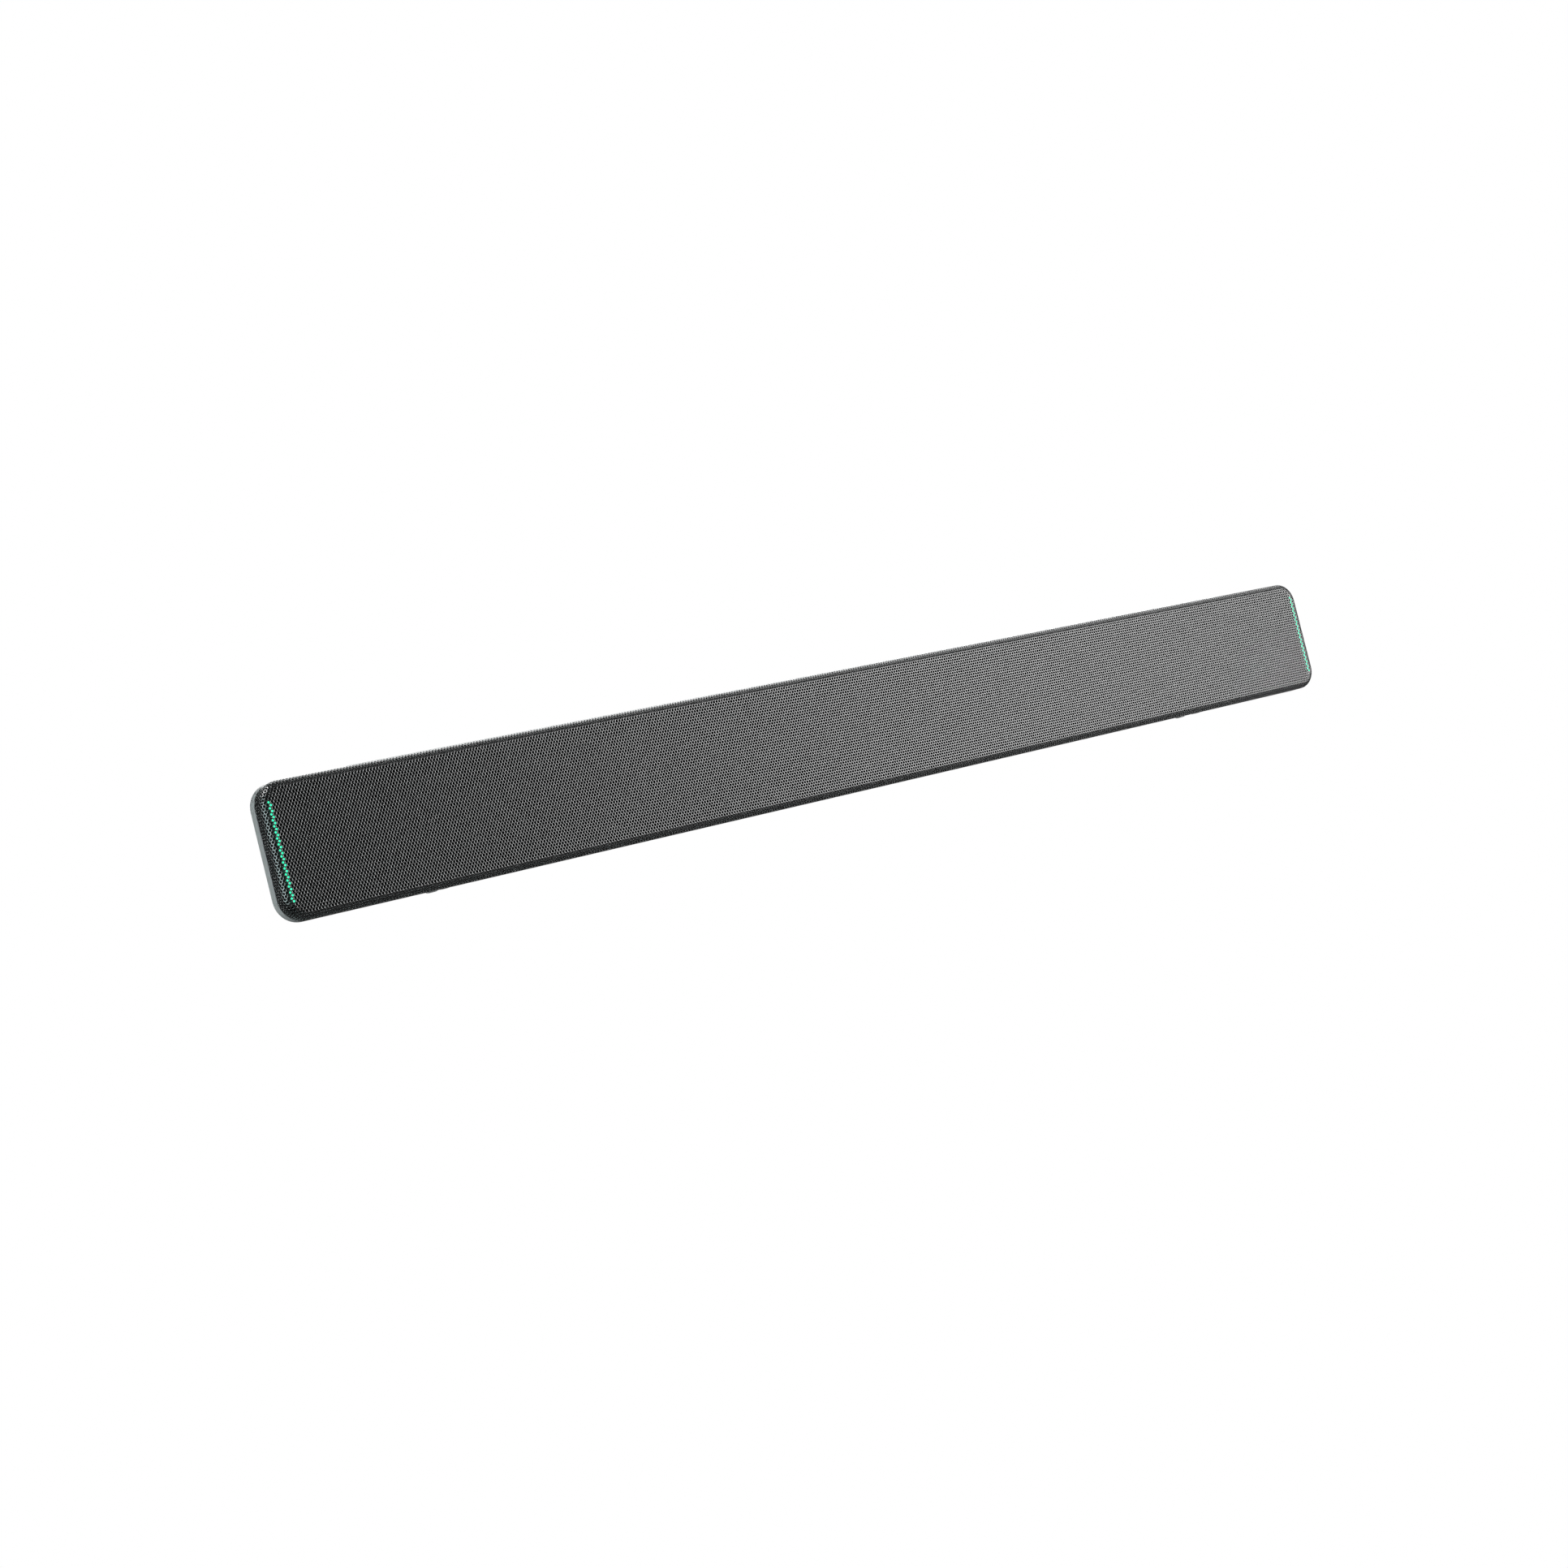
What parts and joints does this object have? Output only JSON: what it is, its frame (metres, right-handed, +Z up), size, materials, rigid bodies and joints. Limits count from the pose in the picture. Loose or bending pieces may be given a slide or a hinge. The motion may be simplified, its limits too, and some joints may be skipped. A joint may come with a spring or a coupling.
{
  "type": "soundbar",
  "caption": "Long slim conference soundbar with a perforated metal front, a light strip at each end, rear sockets in a recess and push buttons on top.",
  "frame": {"origin": "under the middle of the bar, on the plane that it stands on", "axes": "+X along the bar to the right as seen from the front, -Y out of the front grille, +Z up"},
  "size_m": [1.077, 0.09, 0.1031],
  "materials": {
    "grille_metal": "satin black powder coat on perforated steel",
    "cloth": "black acoustic cloth",
    "black_plastic": "black moulded plastic",
    "housing_grey": "satin light grey moulded plastic",
    "light_guide": "milky light pipe, lit green",
    "circuit_board": "green solder mask",
    "flat_cable": "flexible flat cable",
    "spider_cloth": "impregnated cloth",
    "rubber_black": "matt black rubber",
    "silicone_clear": "milky clear silicone",
    "screw_steel": "zinc-plated steel",
    "bare_aluminium": "extruded aluminium",
    "socket_plastic": "black connector plastic",
    "socket_metal": "nickel-plated connector shell",
    "button_plastic": "dark grey soft-touch plastic",
    "lead_red": "insulated stranded wire",
    "insert_brass": "turned brass",
    "basket_metal": "black coated steel",
    "cone_paper": "doped black paper",
    "coil_copper": "copper winding on a thin former",
    "magnet_steel": "ferrite and coated steel"
  },
  "bodies": {
    "bar": {"front_grille": "grille_metal", "acoustic_cloth": "cloth", "grille_frame": "black_plastic", "front_baffle": "black_plastic", "rear_housing": "housing_grey", "led_light_guide_left": "light_guide", "led_light_guide_right": "light_guide", "led_board_left": "circuit_board", "led_board_right": "circuit_board", "led_cables": "flat_cable", "driver_spiders": "spider_cloth", "driver_gaskets": "rubber_black", "driver_screws": "screw_steel", "speaker_box_left": "black_plastic", "speaker_box_right": "black_plastic", "main_board": "circuit_board", "amplifier_board": "circuit_board", "heat_sink": "bare_aluminium", "power_board": "circuit_board", "port_board": "circuit_board", "port_panel": "black_plastic", "dc_socket": "socket_plastic", "ethernet_socket": "socket_metal", "hdmi_socket": "socket_metal", "usb_socket": "socket_metal", "audio_socket": "socket_plastic", "button_board": "circuit_board", "button_switches": "socket_plastic", "ribbon_cables": "flat_cable", "speaker_leads": "lead_red", "wall_inserts": "insert_brass", "rubber_feet": "silicone_clear", "rear_screws": "screw_steel", "end_screws": "screw_steel", "board_screws": "screw_steel", "driver_basket_1": "basket_metal", "driver_surround_1": "rubber_black", "driver_magnet_1": "magnet_steel", "driver_basket_2": "basket_metal", "driver_surround_2": "rubber_black", "driver_magnet_2": "magnet_steel", "driver_basket_3": "basket_metal", "driver_surround_3": "rubber_black", "driver_magnet_3": "magnet_steel", "driver_basket_4": "basket_metal", "driver_surround_4": "rubber_black", "driver_magnet_4": "magnet_steel"},
    "cone_1": {"driver_cone_1": "cone_paper", "voice_coil_1": "coil_copper"},
    "cone_2": {"driver_cone_2": "cone_paper", "voice_coil_2": "coil_copper"},
    "cone_3": {"driver_cone_3": "cone_paper", "voice_coil_3": "coil_copper"},
    "cone_4": {"driver_cone_4": "cone_paper", "voice_coil_4": "coil_copper"},
    "power_button_body": {"power_button": "button_plastic"},
    "source_button_body": {"source_button": "button_plastic"},
    "volume_down_button_body": {"volume_down_button": "button_plastic"},
    "volume_up_button_body": {"volume_up_button": "button_plastic"}
  },
  "joints": [
    {"name": "cone_1_stroke", "type": "slide", "parent": "bar", "child": "cone_1", "axis": [0, -1, 0], "range_m": [-0.0015, 0.0015], "stiffness_N_per_m": 1400},
    {"name": "cone_2_stroke", "type": "slide", "parent": "bar", "child": "cone_2", "axis": [0, -1, 0], "range_m": [-0.0015, 0.0015], "stiffness_N_per_m": 1400},
    {"name": "cone_3_stroke", "type": "slide", "parent": "bar", "child": "cone_3", "axis": [0, -1, 0], "range_m": [-0.0015, 0.0015], "stiffness_N_per_m": 1400},
    {"name": "cone_4_stroke", "type": "slide", "parent": "bar", "child": "cone_4", "axis": [0, -1, 0], "range_m": [-0.0015, 0.0015], "stiffness_N_per_m": 1400},
    {"name": "power_button_press", "type": "slide", "parent": "bar", "child": "power_button_body", "axis": [0, 0, -1], "range_m": [0, 0.0008], "stiffness_N_per_m": 1500},
    {"name": "source_button_press", "type": "slide", "parent": "bar", "child": "source_button_body", "axis": [0, 0, -1], "range_m": [0, 0.0008], "stiffness_N_per_m": 1500},
    {"name": "volume_down_button_press", "type": "slide", "parent": "bar", "child": "volume_down_button_body", "axis": [0, 0, -1], "range_m": [0, 0.0008], "stiffness_N_per_m": 1500},
    {"name": "volume_up_button_press", "type": "slide", "parent": "bar", "child": "volume_up_button_body", "axis": [0, 0, -1], "range_m": [0, 0.0008], "stiffness_N_per_m": 1500}
  ]
}
